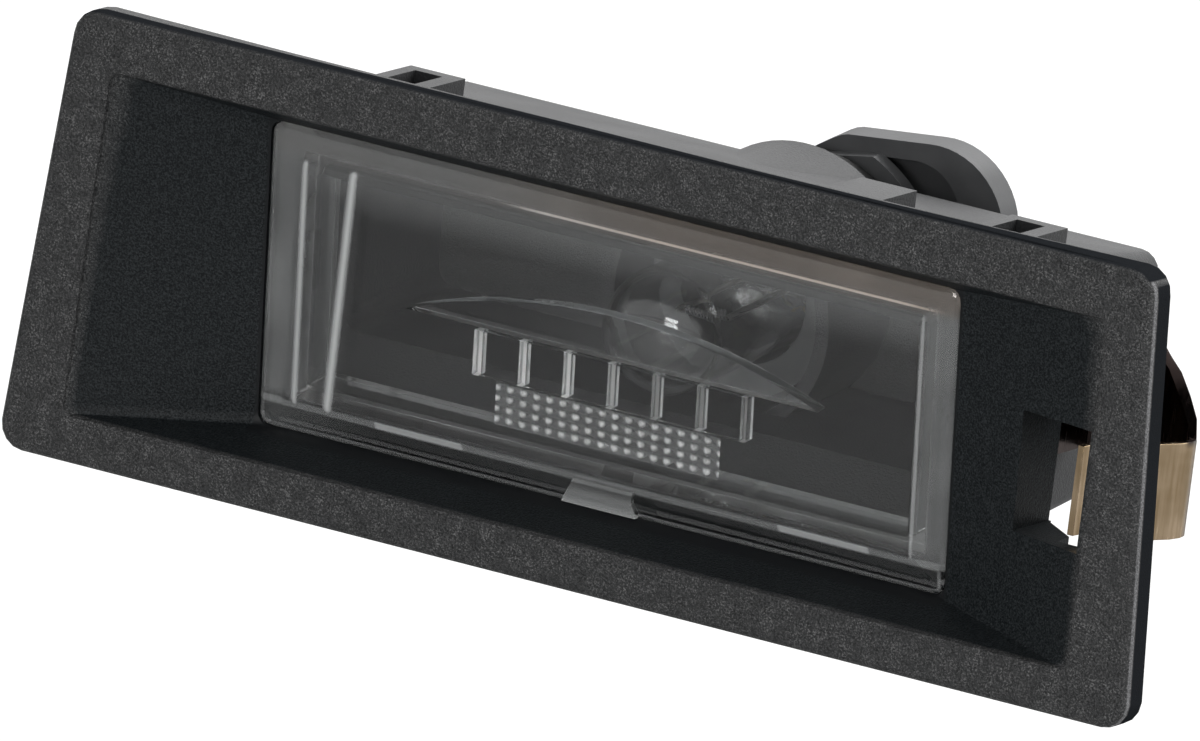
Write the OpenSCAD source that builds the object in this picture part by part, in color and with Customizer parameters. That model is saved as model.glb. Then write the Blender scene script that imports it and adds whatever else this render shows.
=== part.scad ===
// Number plate lamp: bezel and light box, clear lens, spring clip, bulb and quarter-turn holder.
// X runs along the lamp, the lamp faces -Y, Z is up, and the bezel's back face is the plane y = 0.

/* [Bezel] */
// Length of the bezel at half its height
plate_len = 92; // [88:1:110]
// Height of the bezel
plate_h = 33.4; // [32:0.2:40]
// Thickness of the bezel, from its back face to its front face
plate_t = 2.6; // [2:0.1:4]
// How much further each end of the bottom edge reaches than the top edge
plate_flare = 2; // [0:0.1:3]
// Radius of the bezel's corners
plate_corner_r = 2; // [1.5:0.1:3]
// Rounding of the bezel's front edge
plate_edge_r = 0.6; // [0.3:0.1:0.9]
// How far the middle of the top edge dips below its ends
plate_sag = 0.3; // [0:0.1:0.8]

/* [Recess] */
// Width of the bezel's frame at its two ends
rim_side = 4.4; // [3.5:0.1:6]
// Width of the bezel's frame along the top
rim_top = 4.25; // [3.5:0.05:5]
// Width of the bezel's frame along the bottom
rim_bottom = 3.6; // [3:0.1:5]
// Rounding of the frame's inner edge
rim_edge_r = 0.35; // [0.1:0.05:0.6]

// Width of the recess's sloping side, from the bezel's frame to the lens
side_w = 13; // [11.6:0.1:14]

/* [Lens] */
// Height of the lens along its own tilted face
lens_h = 23.3; // [21:0.1:23.5]
// How far the lens face leans, with its bottom edge deeper
lens_tilt = 8.5; // [4:0.5:12]
// Depth of the lens border's middle behind the bezel's back face
lens_depth = 1.05; // [0.5:0.05:2]
// Thickness of the lens face and its flange
lens_t = 1.5; // [1.2:0.1:2]
// Width of the lens's bevelled border
lens_border = 2.3; // [1.8:0.1:3]
// Height of the lens face over its border's outer edge
lens_rise = 0.6; // [0.3:0.1:1]
// Depth of the skirt behind the lens face
skirt_depth = 5; // [3:0.5:7]
// Thickness of the skirt
skirt_t = 1.2; // [0.9:0.1:1.6]

/* [Optic] */
// Length of the optic's straight edge
optic_chord = 34.4; // [28:0.2:38]
// Height of the optic's arc over its straight edge
optic_rise = 3.3; // [2:0.1:4.5]
// How far the optic stands out behind the lens face
optic_depth = 1.2; // [0.6:0.1:1.6]
// Number of flute cells under the optic
flute_cells = 6; // [4:1:6]
// Distance from one flute rib to the next
flute_pitch = 3.7; // [3:0.1:4]
// Width of one flute rib
flute_rib = 0.6; // [0.4:0.1:1]
// Height of the flutes
flute_h = 3.4; // [2.5:0.1:4]
// Number of prism columns
prism_cols = 17; // [10:1:20]
// Width of one prism
prism_w = 1.1; // [0.8:0.1:1.2]
// Number of prism rows
prism_rows = 4; // [2:1:4]
// Height of one prism
prism_h = 0.8; // [0.6:0.1:1]
// How far a prism stands out
prism_depth = 0.45; // [0.3:0.05:0.6]

/* [Light box] */
// Wall thickness of the light box
wall = 1.6; // [1.2:0.1:2]
// How far the shoulder behind the bezel is drawn in from the bezel's ends
shoulder_in = 7.4; // [6.6:0.1:8]
// Depth of the shoulder behind the bezel's back face
shoulder_depth = 4.9; // [3.5:0.1:5.5]
// Depth of the light box's back behind the bezel's back face
box_depth = 28; // [26:0.5:34]
// Height of the box's roof at its back
roof_z = 10.8; // [10:0.1:11.6]
// Height of the box's floor at its back
floor_z = -5.8; // [-7:0.1:-5.6]
// How much further the box's back reaches than the lens, at each end
back_out = 1.2; // [-2:0.1:1.4]
// Width of one guide lug on the roof
lug_w = 4.6; // [3:0.1:6]
// Height of the guide lugs' top, which guides the lamp in the panel's cut-out
lug_top = 14; // [13.6:0.1:15]
// Depth of the guide lugs' back end
lug_back = 15; // [10:0.5:18]

/* [Bulb tube] */
// Height of the tube's axis at its rim
tube_z = 2.95; // [2.5:0.05:3.6]
// Outer radius of the bulb tube
tube_r = 9.5; // [9.3:0.1:10.2]
// Inner radius of the tube's rim
rim_bore_r = 7.65; // [7.5:0.05:7.9]
// Length of the tube
tube_len = 11; // [9:0.5:13]
// How far the bulb's axis rises towards the back
axis_tilt = 6.5; // [0:0.5:9]

/* [Bulb] */
// Radius of the bulb's glass
bulb_r = 4.75; // [4.4:0.05:5]
// Length of the bulb from its tip to the end of its base
bulb_len = 26.5; // [24:0.5:28]
// Thickness of the bulb's glass wall
glass_t = 0.6; // [0.4:0.05:0.8]
// Width of the pinched base
pinch_w = 9; // [8:0.1:9.4]
// Thickness of the pinched base
pinch_t = 2.6; // [2.2:0.1:3]
// Length of the pinched base
pinch_len = 7; // [6:0.5:8]
// Distance between the two lead wires
lead_gap = 3.8; // [3:0.1:4.6]
// Radius of a lead wire
lead_r = 0.25; // [0.2:0.05:0.35]

/* [Holder] */
// Radial clearance of the holder's neck in the tube's rim
neck_clear = 0.08; // [0.05:0.01:0.1]
// Radius of the holder's disc
disc_r = 9.4; // [9.1:0.1:9.6]
// Thickness of the holder's disc
disc_t = 1.2; // [1:0.1:2]
// Thickness of the seal ring
seal_t = 2.8; // [2:0.1:3.5]
// Distance of the disc's flat top from the axis
disc_flat = 7.7; // [7.7:0.1:8.8]
// Depth of the grip behind the disc
grip_depth = 2.3; // [1.5:0.1:4]
// Radius of the grip's rounded end
grip_r = 5.8; // [5:0.1:6.2]
// How far the middle of the grip's rounded end lies to the side of the axis
grip_reach = 8.6; // [7:0.2:10]
// Thickness of the grip's wall at the top
grip_wall = 1.6; // [1.2:0.1:2]
// Length of the connector shroud
plug_len = 9; // [8:0.5:12]
// Outside width of the connector shroud
plug_w = 13; // [12:0.5:15]
// Outside height of the connector shroud
plug_h = 8.4; // [8:0.2:10]

/* [Clip] */
// Thickness of the clip's strip
clip_t = 0.5; // [0.4:0.05:0.6]
// Height of the clip's tongue
tongue_h = 6.6; // [5:0.2:7.4]
// Height of the clip's back leaf and base, from its lower edge
base_h = 10.1; // [7:0.1:11]
// How far the clip's nose stands out past the shoulder
nose_out = 4.8; // [3.5:0.1:5.4]
// Depth of the clip's nose behind the bezel's back face
nose_y = 9.5; // [8.5:0.1:10.5]
// Height of the release slot
slot_h = 9; // [8.4:0.2:11]
// Width of the release slot
slot_w = 6.3; // [5.6:0.1:6.6]

/* [Hidden] */

$fn = 64;
// Overlap that joins two solids, and how far a cut runs past a face
eps = 0.02;
past = 1;
// Play between pieces that are pushed together
fit = 0.1;
// Play between solids on different bodies
gap = 0.3;
// Steps of a rounded corner in an outline
corner_steps = 4;
// Steps along the two ends of an outline
side_steps = 6;

half_len = plate_len / 2;
top_z = plate_h / 2;
recess_top = top_z - rim_top;
recess_bottom = rim_bottom - top_z;
recess_half = half_len - rim_side;
lens_half_w = recess_half - side_w;
back_half_w = lens_half_w + back_out;
face_y = -plate_t;

// The bulb's axis starts at the middle of the tube's rim
tube_y = box_depth + 0.3;
bore_r = rim_bore_r + 0.75;
rim_flange = 3.2;
neck_r = rim_bore_r - neck_clear;
lug_r = bore_r - fit;

shoulder_half_w = half_len - shoulder_in;
// The slot and the tongue lie a little below the middle
slot_x = recess_half - 0.3 - slot_w;
slot_z = -0.25;
tongue_z = -0.7;

// Points of a rounded outline, from the bottom left corner round to the left end.
// x0, x1 are its ends at the bottom and dx how far they draw in at the top.
function outline(x0, x1, z0, z1, r, dx = 0, sag = 0) = [
    for (i = [0 : corner_steps]) let (a = 180 + 90 * i / corner_steps)
        [x0 + r + r * cos(a), z0 + r + r * sin(a)],
    for (i = [0 : corner_steps]) let (a = 270 + 90 * i / corner_steps)
        [x1 - r + r * cos(a), z0 + r + r * sin(a)],
    for (i = [1 : side_steps - 1]) let (k = i / side_steps)
        [x1 - dx * k, z0 + r + (z1 - z0 - 2 * r) * k],
    for (i = [0 : corner_steps]) let (a = 90 * i / corner_steps)
        [x1 - dx - r + r * cos(a), z1 - r + r * sin(a)],
    for (i = [1 : side_steps - 1]) let (k = 1 - 2 * i / side_steps)
        [(x1 - dx - r) * k, z1 - sag * (1 - k * k)],
    for (i = [0 : corner_steps]) let (a = 90 + 90 * i / corner_steps)
        [x0 + dx + r + r * cos(a), z1 - r + r * sin(a)],
    for (i = [1 : side_steps - 1]) let (k = 1 - i / side_steps)
        [x0 + dx * k, z0 + r + (z1 - z0 - 2 * r) * k]
];

// A ring is an outline in space, at depth y, leaning by tangent k
function ring(pts, y, k = 0, z_ref = 0) = [for (p = pts) [p[0], y - k * (p[1] - z_ref), p[1]]];

// A ring on the lens's own tilted plane, at depth y behind its border
function lens_ring(pts, y) = [for (p = pts)
    [p[0], lens_depth + y * cos(lens_tilt) - p[1] * sin(lens_tilt),
     p[1] * cos(lens_tilt) + y * sin(lens_tilt)]];

// Solid between rings that run over its surface, the first one seen from behind
module loft(rings) {
    n = len(rings[0]);
    m = len(rings);
    middles = [for (r = [rings[0], rings[m - 1]]) [for (k = [0 : 2]) let (c = [for (p = r) p[k]])
        (min(c) + max(c)) / 2]];
    pts = concat([for (r = rings) for (p = r) p], middles);
    sides = [for (j = [0 : m - 2]) for (i = [0 : n - 1]) let (i2 = (i + 1) % n)
        for (t = [[j * n + i, (j + 1) * n + i, j * n + i2],
                  [j * n + i2, (j + 1) * n + i, (j + 1) * n + i2]]) t];
    first = [for (i = [0 : n - 1]) [m * n, i, (i + 1) % n]];
    last = [for (i = [0 : n - 1]) [m * n + 1, (m - 1) * n + (i + 1) % n, (m - 1) * n + i]];
    polyhedron(points = pts, faces = concat(first, sides, last), convexity = 6);
}

// The lens's own frame: its border lies in the plane y = 0
module lens_frame() translate([0, lens_depth, 0]) rotate([lens_tilt, 0, 0]) children();

// The bulb's frame: z runs back along its axis from the tube's rim, and -y is up
module bulb_frame() translate([0, tube_y, tube_z]) rotate([axis_tilt - 90, 0, 0]) children();

// A box between two corners
module block(lo, hi) translate(lo) cube(hi - lo);

// A round wire along a path
module wire(path, r, sides = 8) {
    n = len(path);
    dirs = [for (i = [0 : n - 1]) let (d = path[min(i + 1, n - 1)] - path[max(i - 1, 0)]) d / norm(d)];
    side = [for (d = dirs) let (c = cross(d, abs(d[1]) > 0.9 ? [1, 0, 0] : [0, 1, 0])) c / norm(c)];
    pts = [for (i = [0 : n - 1]) let (v = cross(side[i], dirs[i])) for (k = [0 : sides - 1])
        path[i] + r * (cos(360 * k / sides) * side[i] + sin(360 * k / sides) * v)];
    skin = [for (i = [0 : n - 2]) for (k = [0 : sides - 1]) let (k2 = (k + 1) % sides)
        for (t = [[i * sides + k, i * sides + k2, (i + 1) * sides + k],
                  [i * sides + k2, (i + 1) * sides + k2, (i + 1) * sides + k]]) t];
    start = [for (k = [sides - 1 : -1 : 0]) k];
    end = [for (k = [0 : sides - 1]) (n - 1) * sides + k];
    polyhedron(points = pts, faces = concat([start], skin, [end]));
}

// Outline of the bezel, drawn in by i
function plate_pts(i) = outline(-half_len - plate_flare / 2 + i, half_len + plate_flare / 2 - i,
    -top_z + i, top_z - i, plate_corner_r - i, plate_flare, plate_sag);

// Outline of the recess at the bezel's face, grown by g
function recess_pts(g) = outline(-recess_half - plate_flare / 8 - g, recess_half + plate_flare / 8 + g,
    recess_bottom - g, recess_top + g, 0.8 + g, plate_flare / 4);

// Outline of the lens border, drawn in by i
function lens_pts(i) = outline(-lens_half_w + i, lens_half_w - i, -lens_h / 2 + i, lens_h / 2 - i,
    max(0.3, 0.9 - i / 3));

// Outlines of the light box at four depths; w is how far its walls are drawn in
box_mid = box_depth * 0.5;
function shoulder_pts(w) = outline(-shoulder_half_w + w, shoulder_half_w - w,
    recess_bottom - 1 + w, recess_top + 1.6 - w, 1.5);
function throat_pts(w) = outline(-lens_half_w - 2 + w, lens_half_w + 2 - w,
    -lens_h / 2 - 1.9 + w, lens_h / 2 + 1.6 - w, 1.5);
function mid_pts(w) = outline(-back_half_w - 0.4 + w, back_half_w + 0.4 - w,
    floor_z - 1.5 + w, roof_z + 1.7 - w, 1.5);
function back_pts(w) = outline(-back_half_w + w, back_half_w - w, floor_z + w, roof_z - w, 1.5);
lean = tan(axis_tilt);

// Rings of the shell's outside from the back to the bezel, then of its inside from the face to the back
edge_steps = 3;
shell_outside = [
    ring(back_pts(0), box_depth, lean, tube_z),
    ring(mid_pts(0), box_mid),
    ring(throat_pts(0), shoulder_depth + 0.7),
    ring(shoulder_pts(0.4), shoulder_depth),
    ring(shoulder_pts(0), 0),
    ring(plate_pts(0), 0)];
bezel_edge = [for (s = [0 : edge_steps]) let (a = 90 * s / edge_steps)
    ring(plate_pts(plate_edge_r * (1 - cos(a))), face_y + plate_edge_r * (1 - sin(a)))];
shell_inside = [
    ring(recess_pts(rim_edge_r), face_y),
    ring(recess_pts(rim_edge_r * 0.3), face_y + rim_edge_r * 0.3),
    ring(recess_pts(0), face_y + rim_edge_r),
    lens_ring(lens_pts(-fit), 0),
    lens_ring(lens_pts(-fit), lens_t + fit),
    lens_ring(lens_pts(lens_border - fit), lens_t + fit),
    lens_ring(lens_pts(lens_border - fit), lens_t + wall),
    lens_ring(lens_pts(0.2), lens_t + wall + 0.2),
    ring(throat_pts(wall), lens_depth + lens_t + wall + 4),
    ring(mid_pts(wall), box_mid),
    ring(back_pts(wall), box_depth - wall, lean, tube_z)];

module shell() loft(concat(shell_outside, bezel_edge, shell_inside));

// Guide lugs on the roof: x of the left end, and whether its top is cored out
lugs = [[2.1 - lens_half_w, true], [lens_half_w - 17.3, false], [lens_half_w - 4.8, true]];

module guide_lug(x, cored) difference() {
    translate([x, 0, 0]) rotate([90, 0, 90]) linear_extrude(lug_w) polygon([
        [-0.4, recess_top + 0.45], [6, lens_h / 2 + 1.6 - wall / 2], [lug_back, roof_z + 0.8],
        [lug_back, lug_top], [-0.4, lug_top]]);
    if (cored) block([x + 1, lug_back - 5.4, lug_top - 1.1],
                     [x + lug_w - 1.3, lug_back - 1.1, lug_top + past]);
}

// Pockets behind the shoulder, which keep its walls thin
pocket_top = recess_top - 0.8;
pocket_x = [lens_half_w + 4, shoulder_half_w - wall];

module pocket(side, z0, z1) mirror([side < 0 ? 1 : 0, 0, 0])
    block([pocket_x[0], lens_depth + 0.65, z0], [pocket_x[1], shoulder_depth + past, z1]);

module pockets() {
    pocket(-1, -pocket_top, -wall / 2);
    pocket(-1, wall / 2, pocket_top);
    pocket(1, slot_z + slot_h / 2 + wall, pocket_top);
    pocket(1, -pocket_top, slot_z - slot_h / 2 - window_h - wall);
}

// Release slot, and the window behind it that lets the clip through the shoulder's side
window_h = 2;

module release_slot() {
    block([slot_x, face_y - past, slot_z - slot_h / 2],
          [slot_x + slot_w, shoulder_depth + past, slot_z + slot_h / 2]);
    translate([0, 0, slot_z - slot_h / 2 - window_h]) linear_extrude(slot_h + window_h) polygon([
        [slot_x + 0.2, shoulder_depth], [slot_x + slot_w, -0.5],
        [slot_x + slot_w, shoulder_depth + past], [slot_x + 0.2, shoulder_depth + past]]);
}

// Rails on the box's right end that hold the clip's base by its lower and upper edges
base_z = -1.8;
rail_x = lens_half_w + 2;
rail_y = [shoulder_depth + 0.9, shoulder_depth + 2.7];
rail_t = 1.4;
hook_x = rail_x + clip_t + 0.3;

// One rail, at height z, on the side of the clip's edge that s gives
module clip_rail(z, s) translate([0, 0, z]) mirror([0, 0, s < 0 ? 1 : 0]) {
    block([rail_x - 1.2, rail_y[0], fit], [hook_x + 0.8, rail_y[1], rail_t]);
    block([hook_x, rail_y[0], -0.8], [hook_x + 0.8, rail_y[1], rail_t]);
}

module clip_rails() {
    clip_rail(base_z, -1);
    clip_rail(base_z + base_h, 1);
}

// Bayonet lugs of the holder, at their angles round the axis, and how far it turns to let them out
bayonet_at = [20, 200];
bayonet_turn = 45;
bayonet_w = 26;

// A sector of a ring round z, from angle a over angle w
module sector(r0, r1, a, w, z0, z1) translate([0, 0, z0]) rotate([0, 0, a])
    rotate_extrude(angle = w) translate([r0, 0]) square([r1 - r0, z1 - z0]);

module bulb_tube() bulb_frame() translate([0, 0, -tube_len]) cylinder(r = tube_r, h = tube_len);

module tube_bore() bulb_frame() {
    translate([0, 0, -tube_len - eps]) cylinder(r = bore_r, h = tube_len + eps - rim_flange);
    translate([0, 0, -rim_flange - past]) cylinder(r = rim_bore_r, h = rim_flange + 2 * past);
    for (a = bayonet_at)
        sector(rim_bore_r - past, bore_r, a + bayonet_turn - 2, bayonet_w + 4, -rim_flange - past, past);
}

module housing() color([0.12, 0.12, 0.125]) difference() {
    union() {
        shell();
        for (l = lugs) guide_lug(l[0], l[1]);
        clip_rails();
        bulb_tube();
    }
    tube_bore();
    pockets();
    release_slot();
}

// Optic on the back of the lens face: a segment of a disc with a straight lower edge
optic_r = (optic_chord * optic_chord / 4 + optic_rise * optic_rise) / (2 * optic_rise);
optic_z = -0.4;
flute_top = optic_z - 0.3;
prism_top = flute_top - flute_h - 0.15;

module optic() intersection() {
    translate([0, lens_t + optic_depth, optic_z + optic_rise - optic_r]) rotate([90, 0, 0])
        cylinder(r = optic_r, h = optic_depth + eps, $fn = 180);
    block([-optic_chord / 2, 0, optic_z],
          [optic_chord / 2, lens_t + optic_depth + past, optic_z + optic_rise + past]);
}

module flutes() {
    half = flute_cells * flute_pitch / 2;
    block([-half, lens_t - eps, flute_top - flute_h], [half, lens_t + 0.35, flute_top]);
    for (i = [0 : flute_cells]) translate([-half + i * flute_pitch, 0, 0])
        block([-flute_rib / 2, lens_t - eps, flute_top - flute_h], [flute_rib / 2, lens_t + 1, flute_top]);
}

// Saw-tooth outline of n teeth, w wide and d high, on a base of thickness b
function teeth(n, w, d, b) = concat([[0, -b], [n * w, -b]],
    [for (i = [2 * n : -1 : 0]) [i * w / 2, i % 2 == 1 ? d : 0]]);

prisms_h = prism_rows * prism_h;

module prisms() translate([-prism_cols * prism_w / 2, lens_t, prism_top - prisms_h]) intersection() {
    translate([0, 0, prisms_h]) mirror([0, 0, 1])
        linear_extrude(prisms_h) polygon(teeth(prism_cols, prism_w, prism_depth, 0.2));
    rotate([90, 0, 90]) linear_extrude(prism_cols * prism_w)
        polygon([for (p = teeth(prism_rows, prism_h, prism_depth, 0.2)) [p[1], p[0]]]);
}

// Tab on the lower border, where the lens is levered out
tab_w = 6.2;
tab_top_w = 4.4;

module lens_tab() {
    z0 = -lens_h / 2 + 0.25;
    z1 = -lens_h / 2 + lens_border - 0.1;
    translate([0.4, -lens_rise - 0.25, 0]) rotate([90, 0, 0]) mirror([0, 0, 1])
        linear_extrude(lens_rise + 1) polygon([
            [-tab_w / 2, z0], [tab_w / 2, z0], [tab_w / 2 - 0.5, (z0 + z1) / 2],
            [tab_top_w / 2 + 0.6, z1], [tab_top_w / 2, z1], [-tab_top_w / 2, z1]]);
}

// Rings of the lens from the back of its face out over the skirt and the flange to its front
module lens_shell() loft([
    ring(lens_pts(lens_border + skirt_t), lens_t),
    ring(lens_pts(lens_border + skirt_t), skirt_depth),
    ring(lens_pts(lens_border), skirt_depth),
    ring(lens_pts(lens_border), lens_t),
    ring(lens_pts(0), lens_t),
    ring(lens_pts(0), 0.15),
    ring(lens_pts(0.35), -0.15),
    ring(lens_pts(lens_border - 0.35), -lens_rise + 0.35),
    ring(lens_pts(lens_border), -lens_rise + 0.12),
    ring(lens_pts(lens_border + 0.5), -lens_rise)]);

module lens() color([0.85, 0.87, 0.88, 0.5]) lens_frame() {
    lens_shell();
    optic();
    flutes();
    prisms();
    lens_tab();
}

// Middle line of the clip in plan: tongue end, nose, back leaf and base leg
nose_x = shoulder_half_w + nose_out;
clip_x = rail_x + clip_t / 2 + 0.1;
clip_end = [slot_x + slot_w - 1.6, -0.4];
clip_line = [clip_end, clip_end + [0.1, 0.9], [nose_x - 1.1, nose_y - 2.4], [nose_x - 0.45, nose_y - 1.1],
    [nose_x - clip_t / 2, nose_y], [nose_x - 0.35, nose_y + 0.8], [nose_x - 0.9, nose_y + 1.5],
    [nose_x - 2, nose_y + 2.2], [nose_x - 4.6, nose_y + 3.6], [clip_x + 2.2, nose_y + 7],
    [clip_x + 1.2, nose_y + 7.3], [clip_x + 0.4, nose_y + 7], [clip_x, nose_y + 6.2], [clip_x, rail_y[0]]];

// Outline of a strip of thickness t along a line
function strip(line, t) = let (n = len(line), nrm = [for (i = [0 : n - 1])
    let (d = line[min(i + 1, n - 1)] - line[max(i - 1, 0)], u = d / norm(d)) [-u[1], u[0]]])
    concat([for (i = [0 : n - 1]) line[i] + nrm[i] * t / 2],
           [for (i = [n - 1 : -1 : 0]) line[i] - nrm[i] * t / 2]);

// Side outline of the tongue, nose and back leaf: the leaf widens upwards behind the nose
tongue_lo = tongue_z - tongue_h / 2;
tongue_hi = tongue_z + tongue_h / 2;
base_hi = base_z + base_h;
leaf_end = nose_y + 12;
leaf_pts = [[-past, tongue_lo], [2, tongue_lo], [6, tongue_lo - 0.8], [nose_y + 1.3, tongue_lo - 0.8],
    [nose_y + 4.4, base_z], [leaf_end, base_z], [leaf_end, base_hi], [nose_y + 5, base_hi],
    [nose_y + 3.1, base_hi - 2], [nose_y + 1, tongue_hi - 0.3], [6, tongue_hi - 0.3], [2, tongue_hi],
    [-past, tongue_hi]];
// Where the back leaf's outline gives way to the base's
split_x = (nose_x + clip_x) / 2 - 1;

module spring_clip() color([0.62, 0.5, 0.36]) intersection() {
    translate([0, 0, tongue_lo - past]) linear_extrude(base_hi - tongue_lo + 2 * past)
        polygon(strip(clip_line, clip_t));
    union() {
        translate([split_x, 0, 0]) rotate([90, 0, 90])
            linear_extrude(nose_x + past - split_x) polygon(leaf_pts);
        block([clip_x - past, 0, base_z], [split_x + eps, leaf_end, base_hi]);
    }
}

// Bulb, in its own frame: the base ends at base_end and the tip is at tip_z
base_end = 5;
tip_z = base_end - bulb_len;
pinch_z = base_end - pinch_len;
neck_z = pinch_z - 1.8;

// Half outline of the glass, grown or drawn in by g
function glass_pts(g) = concat([[0, tip_z - g]],
    [for (i = [1 : 12]) let (a = 90 * i / 12) [(bulb_r + g) * sin(a), tip_z + 3.6 - (3.6 + g) * cos(a)]],
    [[bulb_r + g, neck_z], [bulb_r - 0.5 + g, neck_z + 0.9 + g], [3 + g, neck_z + 1.8 + g],
     [0, neck_z + 1.8 + g]]);

module bulb_glass() color([0.9, 0.92, 0.95, 0.4]) bulb_frame() difference() {
    union() {
        rotate_extrude() polygon(glass_pts(0));
        block([-pinch_w / 2, -pinch_t / 2, neck_z + 1], [pinch_w / 2, pinch_t / 2, base_end]);
    }
    rotate_extrude() polygon(glass_pts(-glass_t));
    for (s = [-1, 1]) translate([s * lead_gap / 2, 0, neck_z - 1])
        cylinder(r = lead_r + 0.03, h = base_end - neck_z + 2);
}

// Filament between the two posts, in the middle of the glass
filament_z = tip_z + 9;
coil_r = 0.35;
coil_turns = 9;
coil_half = lead_gap / 2 - lead_r - 0.15;

module filament() color([0.5, 0.5, 0.5]) bulb_frame() wire(
    [for (i = [0 : coil_turns * 10]) let (a = 36 * i)
        [-coil_half + 2 * coil_half * i / (coil_turns * 10), coil_r * cos(a), filament_z + coil_r * sin(a)]],
    0.09, 6);

// Lead wire: filament post, straight run through the base, fold over its end
module lead_wire(s) color([0.7, 0.7, 0.68]) bulb_frame() {
    x = s * lead_gap / 2;
    y = s * (pinch_t / 2 + lead_r + 0.02);
    wire([[x, 0, filament_z - 0.5], [x, 0, neck_z], [x, 0, base_end], [x, y * 0.12, base_end + 0.35],
          [x, y * 0.5, base_end + 0.5], [x, y * 0.88, base_end + 0.35], [x, y, base_end],
          [x, y, base_end - 3.6]], lead_r);
}

module lead_wire_left() lead_wire(-1);
module lead_wire_right() lead_wire(1);

// Depths of the holder behind the tube's rim
disc_z = gap + seal_t;
grip_z = disc_z + disc_t;
back_z = grip_z + grip_depth;
plate_z = back_z + 1.4;
plug_z = plate_z + plug_len;

// Outline of the grip, drawn in by w: a ring round the neck that reaches out to one side
module grip_shape(w) hull() {
    circle(r = neck_r - 0.1 - w, $fn = 48);
    translate([1.65, -6.4]) circle(r = 3 - w, $fn = 32);
    translate([grip_reach, -4.35]) circle(r = grip_r - w, $fn = 48);
}

// Outline of the hollow inside the grip
module grip_hollow() hull() {
    circle(r = neck_r + 0.3, $fn = 48);
    translate([grip_reach - grip_wall, -4.9]) circle(r = grip_r - grip_wall - 0.5, $fn = 32);
}

// Contact strips: slots through the holder's back, where the strips become the connector's pins
strip_t = 0.5;
strip_w = 2.4;
strip_y = pinch_t / 2 + 2 * lead_r + 0.06;
pin_w = 1.6;

module holder_body() color([0.16, 0.16, 0.17]) bulb_frame() difference() {
    union() {
        translate([0, 0, -7]) cylinder(r = neck_r, h = 7 + back_z);
        for (a = bayonet_at)
            sector(neck_r - 0.5, lug_r, a, bayonet_w, -rim_flange - 1.7, -rim_flange - 0.2);
        difference() {
            translate([0, 0, disc_z]) cylinder(r = disc_r, h = disc_t);
            rotate([0, 0, -10.5])
                block([-disc_r, -disc_r - past, disc_z - past], [disc_r, -disc_flat, disc_z + disc_t + past]);
        }
        difference() {
            translate([0, 0, grip_z]) linear_extrude(grip_depth) grip_shape(0);
            translate([0, 0, grip_z - past]) linear_extrude(grip_depth + past) grip_hollow();
        }
        translate([0, 0, back_z - eps]) linear_extrude(plate_z - back_z + eps) grip_shape(1.3);
        difference() {
            block([-plug_w / 2, -plug_h / 2, plate_z - eps], [plug_w / 2, plug_h / 2, plug_z]);
            block([-plug_w / 2 + 1.2, -plug_h / 2 + 1.2, plate_z + 1],
                  [plug_w / 2 - 1.2, plug_h / 2 - 1.2, plug_z + past]);
        }
        block([-1.6, -plug_h / 2 - 1.1, plug_z - 4], [1.6, -plug_h / 2 + eps, plug_z - 2]);
    }
    translate([0, 0, -7 - past]) cylinder(r = bulb_r + gap + 0.2, h = 7 + past + neck_z + 2);
    block([-pinch_w / 2 - fit, -3, neck_z + 1], [pinch_w / 2 + fit, 3, base_end + 1]);
    for (s = [0, 1]) mirror([s, 0, 0]) mirror([0, s, 0]) translate([lead_gap / 2, strip_y, 0])
        block([-strip_w / 2 - fit, -fit, 0], [strip_w / 2 + fit, strip_t + fit, plate_z + 2]);
}

module holder_seal() color([0.05, 0.05, 0.05]) bulb_frame() difference() {
    translate([0, 0, gap]) cylinder(r = disc_r - 1.2, h = seal_t);
    translate([0, 0, gap - past]) cylinder(r = neck_r, h = seal_t + 2 * past);
}

// A contact grips one lead wire against the glass base and ends as a pin in the connector
module contact(s) color([0.8, 0.66, 0.35]) bulb_frame() mirror([0, s < 0 ? 1 : 0, 0]) {
    x = s * lead_gap / 2;
    block([x - strip_w / 2, strip_y, 0.6], [x + strip_w / 2, strip_y + strip_t, plate_z + 1.5]);
    block([x - pin_w / 2, strip_y, plate_z], [x + pin_w / 2, strip_y + strip_t, plug_z - 2]);
    translate([x - strip_w / 2, strip_y, 0.6]) rotate([25, 0, 0]) mirror([0, 0, 1])
        cube([strip_w, strip_t, 1.6]);
}

module contact_left() contact(-1);
module contact_right() contact(1);

housing();
lens();
spring_clip();
bulb_glass();
filament();
lead_wire_left();
lead_wire_right();
holder_body();
holder_seal();
contact_left();
contact_right();
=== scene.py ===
"""Looks of the number plate lamp: finishes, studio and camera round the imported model, in metres."""

import math

import bpy
from mathutils import Matrix, Vector

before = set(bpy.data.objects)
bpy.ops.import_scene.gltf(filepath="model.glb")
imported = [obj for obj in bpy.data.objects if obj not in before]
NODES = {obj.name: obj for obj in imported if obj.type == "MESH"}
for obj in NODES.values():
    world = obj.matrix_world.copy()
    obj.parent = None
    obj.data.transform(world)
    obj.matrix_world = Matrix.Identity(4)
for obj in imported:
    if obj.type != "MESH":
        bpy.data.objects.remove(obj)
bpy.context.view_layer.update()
MM = 0.001
SCENE = bpy.context.scene
NOISE_SPAN = (0.3, 0.7)        # where most values of a noise lie


# Small helpers for node trees. Places in a material are in millimetres of the part's frame.

def new_material(name):
    """A material with an empty Principled shader, and its tree."""
    mat = bpy.data.materials.new(name)
    mat.use_nodes = True
    tree = mat.node_tree
    return mat, tree, tree.nodes["Principled BSDF"]


def add(tree, kind, **values):
    """A node of that kind. A value names a property, or a socket where the node has one."""
    node = tree.nodes.new(kind)
    for key, value in values.items():
        name = key.replace("_", " ")
        sockets = [s for s in node.inputs if s.name.lower() == name.lower()]
        if sockets:
            sockets[0].default_value = value
        else:
            setattr(node, key, value)
    return node


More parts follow.
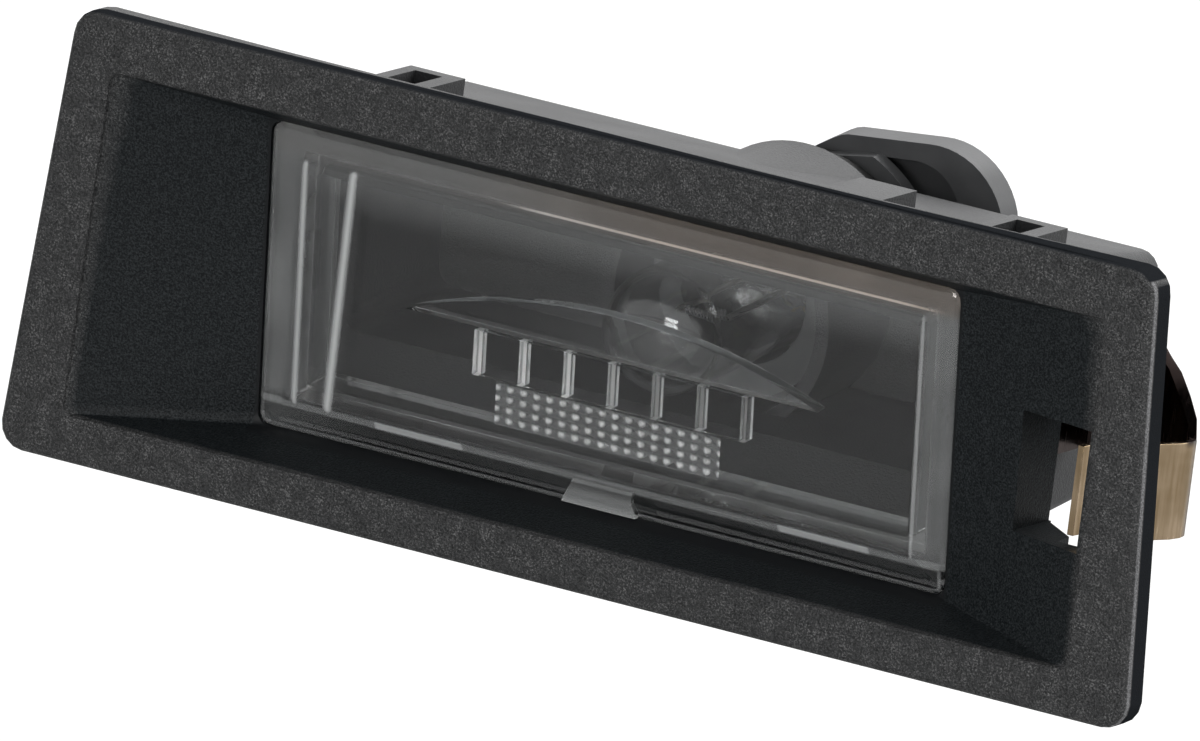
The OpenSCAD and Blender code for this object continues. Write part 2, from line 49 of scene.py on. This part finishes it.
def coordinates(tree, stretch=(1, 1, 1)):
    """Object coordinates in millimetres, stretched along the axes."""
    place = add(tree, "ShaderNodeTexCoord")
    mapping = add(tree, "ShaderNodeMapping")
    mapping.inputs["Scale"].default_value = [s / MM for s in stretch]
    tree.links.new(place.outputs["Object"], mapping.inputs["Vector"])
    return mapping.outputs["Vector"]


def axes(tree, vector):
    """The x, y and z of a vector."""
    node = add(tree, "ShaderNodeSeparateXYZ")
    tree.links.new(vector, node.inputs[0])
    return node.outputs


def noise(tree, vector, size, detail=3.0, rough=0.5):
    """Noise whose features are about size millimetres across."""
    node = add(tree, "ShaderNodeTexNoise", scale=1 / size, detail=detail, roughness=rough)
    tree.links.new(vector, node.inputs["Vector"])
    return node.outputs["Fac"]


def ramp(tree, value, dark, light, span=NOISE_SPAN):
    """The colour dark at the start of value's span, turning to light at its end."""
    node = add(tree, "ShaderNodeValToRGB")
    for element, place, colour in zip(node.color_ramp.elements, span, (dark, light)):
        element.position = place
        element.color = (*colour, 1)
    tree.links.new(value, node.inputs["Fac"])
    return node.outputs["Color"]


def blend(tree, factor, first, second):
    """The colour first, turning into second as factor goes to 1."""
    node = add(tree, "ShaderNodeMix", data_type="RGBA")
    tree.links.new(factor, node.inputs["Factor"])
    for socket, value in ((node.inputs[6], first), (node.inputs[7], second)):
        if isinstance(value, tuple):
            socket.default_value = (*value, 1)
        else:
            tree.links.new(value, socket)
    return node.outputs[2]


def bump(tree, height, distance):
    """A bump node of distance millimetres over a height."""
    node = add(tree, "ShaderNodeBump", strength=1.0, distance=distance * MM)
    tree.links.new(height, node.inputs["Height"])
    return node


def maths(tree, kind, *values):
    """One sum of the given kind over values, each a number or a socket."""
    node = add(tree, "ShaderNodeMath", operation=kind)
    for socket, value in zip(node.inputs, values):
        if isinstance(value, (int, float)):
            socket.default_value = value
        else:
            tree.links.new(value, socket)
    return node.outputs[0]


def chain(tree, kind, values):
    """The values joined one after another by sums of the given kind."""
    total = values[0]
    for value in values[1:]:
        total = maths(tree, kind, total, value)
    return total


def product(tree, *values):
    """The values multiplied: the overlap of masks."""
    return chain(tree, "MULTIPLY", values)


def largest(tree, *values):
    """The largest of the values: the union of masks."""
    return chain(tree, "MAXIMUM", values)


def remap(tree, value, low, high, start=0.0, end=1.0):
    """value, mapped from start and end to low and high."""
    node = add(tree, "ShaderNodeMapRange")
    node.inputs["From Min"].default_value = start
    node.inputs["From Max"].default_value = end
    node.inputs["To Min"].default_value = low
    node.inputs["To Max"].default_value = high
    tree.links.new(value, node.inputs["Value"])
    return node.outputs["Result"]


def rise(tree, value, start, end):
    """0 up to start, turning to 1 at end."""
    return remap(tree, value, 0, 1, start, end)


def fall(tree, value, start, end):
    """1 up to start, turning to 0 at end."""
    return remap(tree, value, 1, 0, start, end)


def inside(tree, value, half, soft, middle=0):
    """1 where value is within half of middle, falling to 0 over soft."""
    if middle:
        value = maths(tree, "SUBTRACT", value, middle)
    return fall(tree, maths(tree, "ABSOLUTE", value), half, half + soft)


# Housing: the grain of the bezel, and where the recess, the box and the bezel's edges differ from it

ZONE_SOFT = 0.2
FACE_Y = (-2.3, -2.0)          # just behind the bezel's front face
BACK_Y = (0.05, 0.15)          # just behind the bezel's back face
RECESS_END_Y = (5.5, 6.0)      # where the recess's finish ends inside the box
RECESS_LEFT = (-42.9, -41.9)
RECESS_RIGHT = (41.6, 41.8)
RECESS_HALF_H = 13.0
SEAT_HALF = (28.8, 11.9)       # the lens's seat and what is seen through the lens
SEAT_Y = (-1.2, -1.0)
TOP_Z = (15.9, 16.0)           # the bezel's top edge, with painted shade along its front
TOP_Y = (-2.5, -2.3)
TOP_SHADE = (-0.7, -0.5)
TOP_WIDENS = 0.014             # how much wider that band of painted shade gets per millimetre to the right
SIDE_X = (44.6, 44.8)          # the bezel's end faces, with painted shade behind a painted highlight on their brink
SIDE_Y = (-1.9, -1.7)
BRINK_X = (44.2, 44.6)
BRINK_Y = -2.05
BRINK_HALF = 0.12
# the recess's colours: darker than the face, partly as painted shade and partly as a finer finish
RECESS_DARK = (0.004, 0.0055, 0.0065)
RECESS_LIGHT = (0.025, 0.029, 0.031)
SEAT_DARK = (0.008, 0.009, 0.010)
SEAT_LIGHT = (0.011, 0.012, 0.013)
BOX_DARK = (0.024, 0.025, 0.027)
BOX_LIGHT = (0.042, 0.043, 0.045)
# colours of the painted shade on the bezel's thickness and of the painted highlight on its brink
EDGE_SHADE = (0.020, 0.022, 0.025)
BRINK_HIGHLIGHT_COLOUR = (0.30, 0.30, 0.31)
TOPS_SIZE = 0.75               # of the grain's tops, as a share of the grain's size
TOPS_HEIGHT = 0.6              # as a share of the grain's own relief
PATCH_SIZE = 1.3               # groups of painted glints on the grain
CLOUD_SIZE = 9                 # slow change over the whole moulding
GRAIN_SPAN = (0.38, 0.62)      # spans of noise over which each of these comes out
GLINT_SPECK_SPAN = (0.50, 0.66)
PATCH_SPAN = (0.35, 0.65)
RECESS_SPAN = (0.42, 0.66)
BRINK_HIGHLIGHT_SPAN = (0.4, 0.6)
GLOSS = 0.5
RECESS_GLOSS = 0.12            # taken away once more on the bezel's dark edges, which have no gloss
SMOOTHER = 0.35                # depth of the grain off the bezel's face, as a share of that on it


def housing_zones(tree, x, y, z):
    """Masks of the recess, the lens's seat, the box, the painted shade on the bezel's edges and the painted
    highlight on their brink.
    """
    wide = maths(tree, "ABSOLUTE", x)
    not_deep = fall(tree, y, *RECESS_END_Y)
    recess = product(tree, rise(tree, x, *RECESS_LEFT), fall(tree, x, *RECESS_RIGHT),
                     inside(tree, z, RECESS_HALF_H, ZONE_SOFT), rise(tree, y, *FACE_Y), not_deep)
    seat = product(tree, inside(tree, x, SEAT_HALF[0], ZONE_SOFT), inside(tree, z, SEAT_HALF[1], ZONE_SOFT),
                   rise(tree, y, *SEAT_Y), not_deep)
    box = rise(tree, y, *BACK_Y)
    slant = maths(tree, "SUBTRACT", y, maths(tree, "MULTIPLY", x, TOP_WIDENS))
    top = product(tree, fall(tree, slant, *TOP_SHADE), rise(tree, z, *TOP_Z), rise(tree, y, *TOP_Y))
    side = product(tree, rise(tree, y, *SIDE_Y), rise(tree, wide, *SIDE_X))
    edge = product(tree, largest(tree, top, side), fall(tree, y, *BACK_Y))
    brink = product(tree, inside(tree, y, BRINK_HALF, BRINK_HALF, BRINK_Y), rise(tree, wide, *BRINK_X))
    return recess, seat, box, edge, brink


def grained_plastic(name, dark, light, glint_colour, grain, depth, rough):
    """Moulded plastic with a spark-eroded grain of that size in millimetres.

    The recess is finer and darker, partly as painted shade, and the box behind is smoother.
    The bezel's own thickness is dark with painted shade, and its brink has a painted highlight.
    Pale specks on the grain's tops are painted glints.
    """
    mat, tree, shader = new_material(name)
    where = coordinates(tree)
    recess, seat, box, edge, brink = housing_zones(tree, *axes(tree, where))
    fine = noise(tree, where, grain, 2, 0.6)
    tops = noise(tree, where, grain * TOPS_SIZE, 2, 0.7)
    groups = noise(tree, where, PATCH_SIZE, 2)
    broad = noise(tree, where, CLOUD_SIZE, 2)

    # pale specks on the grain's tops: painted glints
    grain_glints = product(tree, rise(tree, tops, *GLINT_SPECK_SPAN), remap(tree, groups, 0.25, 1, *PATCH_SPAN))
    colour = blend(tree, grain_glints, ramp(tree, fine, dark, light, GRAIN_SPAN), glint_colour)
    # a painted highlight along the brink of the bezel's ends, broken up by the grain's tops
    painted_brink_highlight = product(tree, brink, remap(tree, tops, 0.3, 0.8, *BRINK_HIGHLIGHT_SPAN))
    for zone, finish in [(box, ramp(tree, fine, BOX_DARK, BOX_LIGHT)),
                         (recess, ramp(tree, tops, RECESS_DARK, RECESS_LIGHT, RECESS_SPAN)),
                         (seat, ramp(tree, broad, SEAT_DARK, SEAT_LIGHT)),
                         (painted_brink_highlight, BRINK_HIGHLIGHT_COLOUR), (edge, EDGE_SHADE)]:
        colour = blend(tree, zone, colour, finish)
    tree.links.new(colour, shader.inputs["Base Color"])

    calm = largest(tree, recess, edge)
    gloss = maths(tree, "SUBTRACT", remap(tree, calm, GLOSS, RECESS_GLOSS), product(tree, edge, RECESS_GLOSS))
    tree.links.new(gloss, shader.inputs["Specular IOR Level"])
    tree.links.new(remap(tree, broad, rough - 0.05, rough + 0.05, *NOISE_SPAN), shader.inputs["Roughness"])
    relief = bump(tree, maths(tree, "ADD", fine, maths(tree, "MULTIPLY", tops, TOPS_HEIGHT)), depth)
    tree.links.new(product(tree, remap(tree, largest(tree, calm, box), 1, SMOOTHER), remap(tree, seat, 1, 0)),
                   relief.inputs["Strength"])
    tree.links.new(relief.outputs["Normal"], shader.inputs["Normal"])
    return mat


# Lens, in its own directions: x across it, up its tilted face, and deep behind its border's outer edge

LENS_TILT = 8.5                # degrees, with its bottom edge deeper
LENS_DEPTH = 1.05              # of its border's middle behind the bezel's back face
LENS_HALF = (26.3, 9.35)       # from the middle to the inner edge of its border
LENS_FRONT = (0.5, 0.6)        # deep where its front ends
LENS_REAR = (1.3, 1.4)         # deep where its back starts
# The rim, lines, glow and tab below are pale marks of painted reflection and painted highlight on the lens.
RIM = (-0.5, 0.1)              # beyond LENS_HALF
RIM_BOTTOM = (-9.7, -8.9)
UPRIGHT = (9.2, 0.4)           # half height and fade of the upright painted highlight lines
UPRIGHT_LINES = [              # lean, x, half width, fade, strength
    (0, -25.4, 0.06, 0.3, 0.5),
    (0, 26.05, 0.09, 0.09, 0.3),
    (0.0685, -22.0, 0.05, 0.45, 0.62)]
TOP_LINE = (9.79, 0.07)        # up, half width
TOP_LINE_X = (15, 5, 9.4)      # half width, fade and middle, as for the ends, tab, flutes and optic below
TOP_STRENGTH = 0.55
BOTTOM_LINE = (-9.45, 0.2)     # up, half width
BOTTOM_ENDS = [(3.5, 0.3, -15), (3.6, 0.3, 18.8)]
OUTER_LINE = (1.95, 0.08)      # beyond LENS_HALF, half width
GLOW_UP = (6, 9.6)             # faint painted glow that grows towards the top, and towards the left end
GLOW_X = (-26.4, -20)
GLOW_DEEP = (1.4, 1.6)
TAB_X = (3.6, 0.1, 0.4)
TAB_UP = (-9.4, -9.2)
TAB_DEEP = (-0.7, -0.6)
# The ribs and prism tips below are pale as painted glints.
FLUTE_PITCH = 3.7
FLUTE_X = (FLUTE_PITCH * 3.1, 0.1)
FLUTE_UP = (1.7, 0.1, -2.4)
RIB = (0.16, 0.36)             # half width of a rib, and where it has faded
PRISM = (1.1, 0.8)             # width and height of one
PRISM_X = (PRISM[0] * 8.5, 0.05)
PRISM_UP = (1.6, 0.05, -5.85)
PRISM_LOW = 7.45               # from the middle down to the foot of the prisms
WEDGE_DEEP = (2.5, 2.6)        # deep where the optic's rear face starts
OPTIC_WALL = (0.45, 0.02, 2.1)
OPTIC_UP = (2.2, 0.1, 1.4)
OPTIC_EDGE = (0.25, 0.27, 0.28)
GLINT = (0.97, 0.97, 0.97)


def lens_directions(tree, where):
    """x, up and deep of the lens."""
    x, y, z = axes(tree, where)
    lean = math.radians(LENS_TILT)
    back = maths(tree, "SUBTRACT", y, LENS_DEPTH)
    up = maths(tree, "SUBTRACT", maths(tree, "MULTIPLY", z, math.cos(lean)),
               maths(tree, "MULTIPLY", back, math.sin(lean)))
    deep = maths(tree, "ADD", maths(tree, "MULTIPLY", back, math.cos(lean)),
                 maths(tree, "MULTIPLY", z, math.sin(lean)))
    return x, up, deep


def lens_border(tree, x, up, deep, patches):
    """How pale the painted reflection on the border, the painted highlight lines on the front, the painted
    glow at the top and left, and the painted highlight on the tab are.
    """
    edge = largest(tree, *[maths(tree, "SUBTRACT", maths(tree, "ABSOLUTE", value), half)
                           for value, half in zip((x, up), LENS_HALF)])
    front = fall(tree, deep, *LENS_FRONT)
    tall = inside(tree, up, *UPRIGHT)
    parts = [product(tree, rise(tree, edge, *RIM), remap(tree, patches, 0.06, 0.14, *NOISE_SPAN),
                     rise(tree, up, *RIM_BOTTOM))]
    for lean, at, half, soft, strength in UPRIGHT_LINES:
        leaning = maths(tree, "SUBTRACT", x, maths(tree, "MULTIPLY", up, lean))
        parts.append(product(tree, inside(tree, leaning, half, soft, at), front, tall, strength))
    ends = chain(tree, "ADD", [inside(tree, x, *end) for end in BOTTOM_ENDS])
    for value, at, half, strength in [
            (up, *TOP_LINE, product(tree, inside(tree, x, *TOP_LINE_X), TOP_STRENGTH)),
            (up, *BOTTOM_LINE, maths(tree, "ADD", maths(tree, "MULTIPLY", ends, 0.3), 0.2)),
            (edge, *OUTER_LINE, remap(tree, up, 0.14, 0.05, -10, -9))]:
        parts.append(product(tree, inside(tree, value, half, half, at), front, strength))
    glow = largest(tree, remap(tree, up, 0, 0.11, *GLOW_UP), remap(tree, x, 0.05, 0, *GLOW_X))
    parts.append(product(tree, glow, fall(tree, deep, *GLOW_DEEP)))
    parts.append(product(tree, inside(tree, x, *TAB_X), fall(tree, up, *TAB_UP), fall(tree, deep, *TAB_DEEP),
                         remap(tree, up, 0.3, 0.04, -11.2, -9.6)))
    return largest(tree, *parts)


def lens_optics(tree, x, up, deep, marks):
    """How pale the painted glints on the ribs between the flutes and on the tips of the prisms are, both on
    the back.
    """
    rear = rise(tree, deep, *LENS_REAR)
    rib = maths(tree, "PINGPONG", maths(tree, "ADD", x, FLUTE_PITCH * 3), FLUTE_PITCH / 2)
    ribs = product(tree, fall(tree, rib, *RIB), inside(tree, x, *FLUTE_X), inside(tree, up, *FLUTE_UP), rear,
                   remap(tree, x, 1, 0.4, -4.5, 3))
    across = maths(tree, "PINGPONG", maths(tree, "ADD", x, PRISM[0] * 9), PRISM[0] / 2)
    along = maths(tree, "PINGPONG", maths(tree, "ADD", up, PRISM_LOW), PRISM[1] / 2)
    tips = product(tree, rise(tree, across, 0.2, 0.5), rise(tree, along, 0.12, 0.38))
    dots = product(tree, remap(tree, tips, 0.2, 1, 0, 0.6), inside(tree, x, *PRISM_X), rear,
                   inside(tree, up, *PRISM_UP), remap(tree, marks, 0.7, 1, 0.35, 0.55))
    return largest(tree, ribs, dots)


def moulded_lens(name, tint, reflection_colour, warm_reflection, rough, ior):
    """Clear plastic with painted reflections on its border, painted glints on its ribs and prisms, and
    painted highlights as pale lines on its front.
    """
    mat, tree, shader = new_material(name)
    where = coordinates(tree)
    x, up, deep = lens_directions(tree, where)
    marks = noise(tree, where, 0.5, 3)
    patches = noise(tree, where, 6, 2)

    wall = product(tree, inside(tree, deep, *OPTIC_WALL), inside(tree, up, *OPTIC_UP))
    clear = ramp(tree, patches, tint, lighter(tint), TINT_SPAN)
    tree.links.new(blend(tree, wall, clear, OPTIC_EDGE), shader.inputs["Base Color"])
    tree.links.new(remap(tree, patches, rough, rough + 0.015, *NOISE_SPAN), shader.inputs["Roughness"])
    shader.inputs["Transmission Weight"].default_value = 1
    shader.inputs["IOR"].default_value = ior

    optics = lens_optics(tree, x, up, deep, marks)
    # the optic's rear face, paler towards the right as painted light
    wedge = product(tree, rise(tree, deep, *WEDGE_DEEP), remap(tree, x, 0, 0.12, -9, 9))
    # a pale diffuse shader mixed in as painted reflections, highlights and glints, with a warm painted
    # reflection along the top of the border
    pale = add(tree, "ShaderNodeBsdfPrincipled", roughness=0.35)
    warm_band = product(tree, rise(tree, up, 9.3, 9.8), remap(tree, x, 0.15, 1, -14, 4))
    tree.links.new(blend(tree, optics, blend(tree, warm_band, reflection_colour, warm_reflection), GLINT), pale.inputs["Base Color"])
    both = add(tree, "ShaderNodeMixShader")
    tree.links.new(largest(tree, lens_border(tree, x, up, deep, patches), wedge, optics), both.inputs["Fac"])
    tree.links.new(shader.outputs[0], both.inputs[1])
    tree.links.new(pale.outputs[0], both.inputs[2])
    tree.links.new(both.outputs[0], tree.nodes["Material Output"].inputs["Surface"])
    return mat


# Other materials

LEAF_Y = (8.6, 9.2)            # painted shade darkens the clip behind LEAF_Y where it is above LEAF_Z, and all over behind LEAF_END_Y
LEAF_Z = (1.8, 2.3)            # and all over behind LEAF_END_Y
LEAF_END_Y = (10.4, 11)
# colour of the painted shade on the clip's back leaf
LEAF_SHADE = (0.07, 0.052, 0.048)
TINT_SPAN = (0.2, 0.8)         # of the noise over which a clear tint gets lighter


def lighter(tint):
    """The tint, a shade lighter."""
    return tuple(min(1, c + 0.02) for c in tint)


def satin_plastic(name, dark, light, rough):
    """Smooth moulded plastic with faint flow marks."""
    mat, tree, shader = new_material(name)
    flow = noise(tree, coordinates(tree, (1, 0.35, 1)), 3.5, 3)
    fine = noise(tree, coordinates(tree), 0.25, 2)
    tree.links.new(ramp(tree, flow, dark, light, (0.3, 0.75)), shader.inputs["Base Color"])
    tree.links.new(remap(tree, flow, rough - 0.06, rough + 0.08, *NOISE_SPAN), shader.inputs["Roughness"])
    tree.links.new(bump(tree, fine, 0.012).outputs["Normal"], shader.inputs["Normal"])
    return mat


def clear_glass(name, tint, rough, ior):
    """Clear glass, faintly tinted, with slight flow waves in its surface."""
    mat, tree, shader = new_material(name)
    where = coordinates(tree)
    waves = noise(tree, where, 7, 2)
    marks = noise(tree, where, 0.5, 3)
    tree.links.new(ramp(tree, waves, tint, lighter(tint), TINT_SPAN), shader.inputs["Base Color"])
    tree.links.new(remap(tree, marks, rough, rough + 0.03, 0.45, 0.75), shader.inputs["Roughness"])
    tree.links.new(bump(tree, waves, 0.03).outputs["Normal"], shader.inputs["Normal"])
    shader.inputs["Transmission Weight"].default_value = 1
    shader.inputs["IOR"].default_value = ior
    return mat


def metal(name, dark, light, rough, stretch, grain):
    """Rolled or drawn metal with fine lines along it."""
    mat, tree, shader = new_material(name)
    lines = noise(tree, coordinates(tree, stretch), grain, 3)
    cloud = noise(tree, coordinates(tree), 2.5, 2)
    tree.links.new(ramp(tree, cloud, dark, light), shader.inputs["Base Color"])
    tree.links.new(remap(tree, lines, rough - 0.06, rough + 0.08, *NOISE_SPAN), shader.inputs["Roughness"])
    tree.links.new(bump(tree, lines, 0.006).outputs["Normal"], shader.inputs["Normal"])
    shader.inputs["Metallic"].default_value = 1
    return mat


def clip_strip(name, dark, light, rough):
    """Bronze spring strip with lines along it; the leaf behind its nose is darkened with painted shade."""
    mat, tree, shader = new_material(name)
    where = coordinates(tree)
    _, y, z = axes(tree, where)
    lines = noise(tree, coordinates(tree, (1, 1, 0.08)), 0.35, 3)
    cloud = noise(tree, where, 2.5, 2)
    # painted shade on the back leaf behind the nose
    leaf = largest(tree, product(tree, rise(tree, y, *LEAF_Y), rise(tree, z, *LEAF_Z)),
                   rise(tree, y, *LEAF_END_Y))
    clean = ramp(tree, product(tree, cloud, lines), dark, light, (0.12, 0.4))
    tree.links.new(blend(tree, leaf, clean, LEAF_SHADE), shader.inputs["Base Color"])
    tree.links.new(remap(tree, lines, rough - 0.08, rough + 0.1, *NOISE_SPAN), shader.inputs["Roughness"])
    tree.links.new(bump(tree, lines, 0.006).outputs["Normal"], shader.inputs["Normal"])
    shader.inputs["Metallic"].default_value = 1
    return mat


DRAWN = (1, 0.1, 1)            # stretch of the lines in drawn metal
MATERIALS = {name: make(name, *values) for name, make, *values in [
    # the housing's third colour is that of the painted glints on its grain
    ("housing_plastic", grained_plastic, (0.006, 0.0065, 0.007), (0.026, 0.027, 0.028),
     (0.15, 0.15, 0.15), 0.19, 0.17, 0.46),
    # the lens's second and third colours are those of its painted reflections, pale and warm
    ("lens_clear", moulded_lens, (0.95, 0.96, 0.96), (0.72, 0.74, 0.74), (0.70, 0.60, 0.52), 0.01, 1.5),
    ("bulb_glass", clear_glass, (0.97, 0.98, 0.98), 0.0, 1.5),
    ("clip_metal", clip_strip, (0.36, 0.26, 0.15), (0.60, 0.46, 0.31), 0.2),
    ("filament_metal", metal, (0.25, 0.25, 0.26), (0.4, 0.4, 0.41), 0.4, (1, 1, 1), 0.2),
    ("lead_metal", metal, (0.55, 0.53, 0.5), (0.7, 0.68, 0.64), 0.3, DRAWN, 0.2),
    ("holder_plastic", satin_plastic, (0.085, 0.087, 0.09), (0.12, 0.122, 0.125), 0.45),
    ("seal_rubber", satin_plastic, (0.008, 0.008, 0.008), (0.014, 0.014, 0.014), 0.7),
    ("contact_metal", metal, (0.68, 0.53, 0.26), (0.83, 0.68, 0.38), 0.25, DRAWN, 0.2),
]}


# CAD nodes: finish and soft edges

WELD_DISTANCE = 0.002
FLAT_ANGLE = 1.5               # degrees, up to which facets are merged
SHARP_ANGLE = 35.0             # degrees, from which an edge is rounded
EDGE_STEPS = 2
FLAT_WEIGHT = 80               # how far large faces lead the shading


def finish_node(name, slot, edge):
    """Gives a node its material, merges its facets, and rounds its sharp edges by edge millimetres."""
    obj = NODES[name]
    obj.data.materials.clear()
    obj.data.materials.append(MATERIALS[slot])
    for face in obj.data.polygons:
        face.use_smooth = True
    weld = obj.modifiers.new("weld", "WELD")
    weld.merge_threshold = WELD_DISTANCE * MM
    flat = obj.modifiers.new("flat", "DECIMATE")
    flat.decimate_type = "DISSOLVE"
    flat.angle_limit = math.radians(FLAT_ANGLE)
    if edge:
        soft = obj.modifiers.new("soft", "BEVEL")
        soft.width = edge * MM
        soft.segments = EDGE_STEPS
        soft.limit_method = "ANGLE"
        soft.angle_limit = math.radians(SHARP_ANGLE)
        soft.use_clamp_overlap = True
        soft.harden_normals = False
    even = obj.modifiers.new("even", "WEIGHTED_NORMAL")
    even.keep_sharp = True
    even.weight = FLAT_WEIGHT


for node, slot, edge in [
        ("housing", "housing_plastic", 0.12), ("lens", "lens_clear", 0.06),
        ("spring_clip", "clip_metal", 0.08), ("bulb_glass", "bulb_glass", 0),
        ("filament", "filament_metal", 0), ("lead_wire_left", "lead_metal", 0),
        ("lead_wire_right", "lead_metal", 0), ("holder_body", "holder_plastic", 0.2),
        ("holder_seal", "seal_rubber", 0.2), ("contact_left", "contact_metal", 0.05),
        ("contact_right", "contact_metal", 0.05)]:
    finish_node(node, slot, edge)


# Camera: the photograph's view, in its frame of 1200 by 741 pixels

AZIMUTH = math.radians(28.2)
ELEVATION = math.radians(12.95)
ROLL = math.radians(-7.322)
DISTANCE = 2.2
TARGET = Vector((0.16, 0, -0.80)) * MM
PIXELS_PER_MM = 13.93
IMAGE_WIDTH = 1200
SENSOR = 36.0


def add_camera():
    level = Vector((math.cos(AZIMUTH), math.sin(AZIMUTH), 0))
    back = Vector((math.sin(AZIMUTH) * math.cos(ELEVATION), -math.cos(AZIMUTH) * math.cos(ELEVATION),
                   math.sin(ELEVATION)))
    up = back.cross(level)
    right = math.cos(ROLL) * level - math.sin(ROLL) * up
    upright = math.sin(ROLL) * level + math.cos(ROLL) * up
    data = bpy.data.cameras.new("camera")
    camera = bpy.data.objects.new("camera", data)
    SCENE.collection.objects.link(camera)
    turn = Matrix((right, upright, back)).transposed().to_4x4()
    camera.matrix_world = Matrix.Translation(TARGET + back * DISTANCE) @ turn
    data.sensor_width = SENSOR
    data.lens = PIXELS_PER_MM / MM * DISTANCE * SENSOR / IMAGE_WIDTH
    data.clip_start = 0.1
    data.clip_end = 20
    SCENE.camera = camera


add_camera()


# Studio: pale floor, white surroundings and soft lights

FLOOR_Z = -0.045
FLOOR_HALF = 2.5
FLOOR_DARK = (0.45, 0.45, 0.45)
FLOOR_LIGHT = (0.47, 0.47, 0.47)
FLOOR_CLOUD = 400
FLOOR_GLOW = 0.62              # added for the camera alone, so that the lit floor shows white
BRIGHT_SIDE = Vector((0.35, 0.62, 0.70))
ROOM_FADE = (-0.3, 0.5)        # along BRIGHT_SIDE, where reflections start and end getting brighter
LIGHTS = [                     # name, azimuth, elevation, distance, size, level
    ("front", 12, 6, 0.8, 0.3, 0.55),
    ("right", 125, 25, 0.7, 0.35, 0.3),
    ("back", 165, 55, 0.8, 0.5, 0.5),
    ("sheen", 208, 40, 0.8, 0.6, 0.15)]


def add_floor():
    mesh = bpy.data.meshes.new("floor")
    half = FLOOR_HALF
    mesh.from_pydata([(-half, -half, FLOOR_Z), (half, -half, FLOOR_Z), (half, half, FLOOR_Z),
                      (-half, half, FLOOR_Z)], [], [(0, 1, 2, 3)])
    floor = bpy.data.objects.new("floor", mesh)
    SCENE.collection.objects.link(floor)
    mat, tree, shader = new_material("floor_white")
    cloud = noise(tree, coordinates(tree), FLOOR_CLOUD, 2)
    tree.links.new(ramp(tree, cloud, FLOOR_DARK, FLOOR_LIGHT, (0, 1)), shader.inputs["Base Color"])
    shader.inputs["Roughness"].default_value = 0.9
    shader.inputs["Specular IOR Level"].default_value = 0.1
    shader.inputs["Emission Color"].default_value = (1, 1, 1, 1)
    path = add(tree, "ShaderNodeLightPath")
    glow = remap(tree, path.outputs["Is Camera Ray"], 0, FLOOR_GLOW)
    tree.links.new(glow, shader.inputs["Emission Strength"])
    mesh.materials.append(mat)


def add_world(fill, front, back):
    """White to the camera and through glass, fill for diffuse light; reflections go from front to back."""
    world = bpy.data.worlds.new("studio")
    world.use_nodes = True
    tree = world.node_tree
    ground = tree.nodes["Background"]
    ground.inputs["Color"].default_value = (1, 1, 1, 1)
    place = add(tree, "ShaderNodeTexCoord")
    toward = add(tree, "ShaderNodeVectorMath", operation="DOT_PRODUCT")
    tree.links.new(place.outputs["Generated"], toward.inputs[0])
    toward.inputs[1].default_value = BRIGHT_SIDE
    path = add(tree, "ShaderNodeLightPath")
    shiny = add(tree, "ShaderNodeMix", data_type="FLOAT")
    shiny.inputs["A"].default_value = fill
    tree.links.new(path.outputs["Is Glossy Ray"], shiny.inputs["Factor"])
    tree.links.new(remap(tree, toward.outputs["Value"], front, back, *ROOM_FADE), shiny.inputs["B"])
    strength = largest(tree, shiny.outputs[0], path.outputs["Is Camera Ray"],
                       path.outputs["Is Transmission Ray"])
    tree.links.new(strength, ground.inputs["Strength"])
    SCENE.world = world


def add_light(name, azimuth, elevation, distance, size, level):
    """A soft square lamp that lights a surface facing it to level times its colour."""
    a = math.radians(azimuth)
    e = math.radians(elevation)
    away = Vector((math.sin(a) * math.cos(e), -math.cos(a) * math.cos(e), math.sin(e)))
    data = bpy.data.lights.new(name, "AREA")
    data.shape = "SQUARE"
    data.size = size
    data.energy = level * math.pi ** 2 * distance ** 2
    lamp = bpy.data.objects.new(name, data)
    SCENE.collection.objects.link(lamp)
    lamp.location = away * distance
    lamp.rotation_mode = "QUATERNION"
    lamp.rotation_quaternion = away.to_track_quat("Z", "Y")


add_floor()
add_world(0.4, 0.08, 1.0)
for light in LIGHTS:
    add_light(*light)

SCENE.view_settings.view_transform = "Standard"
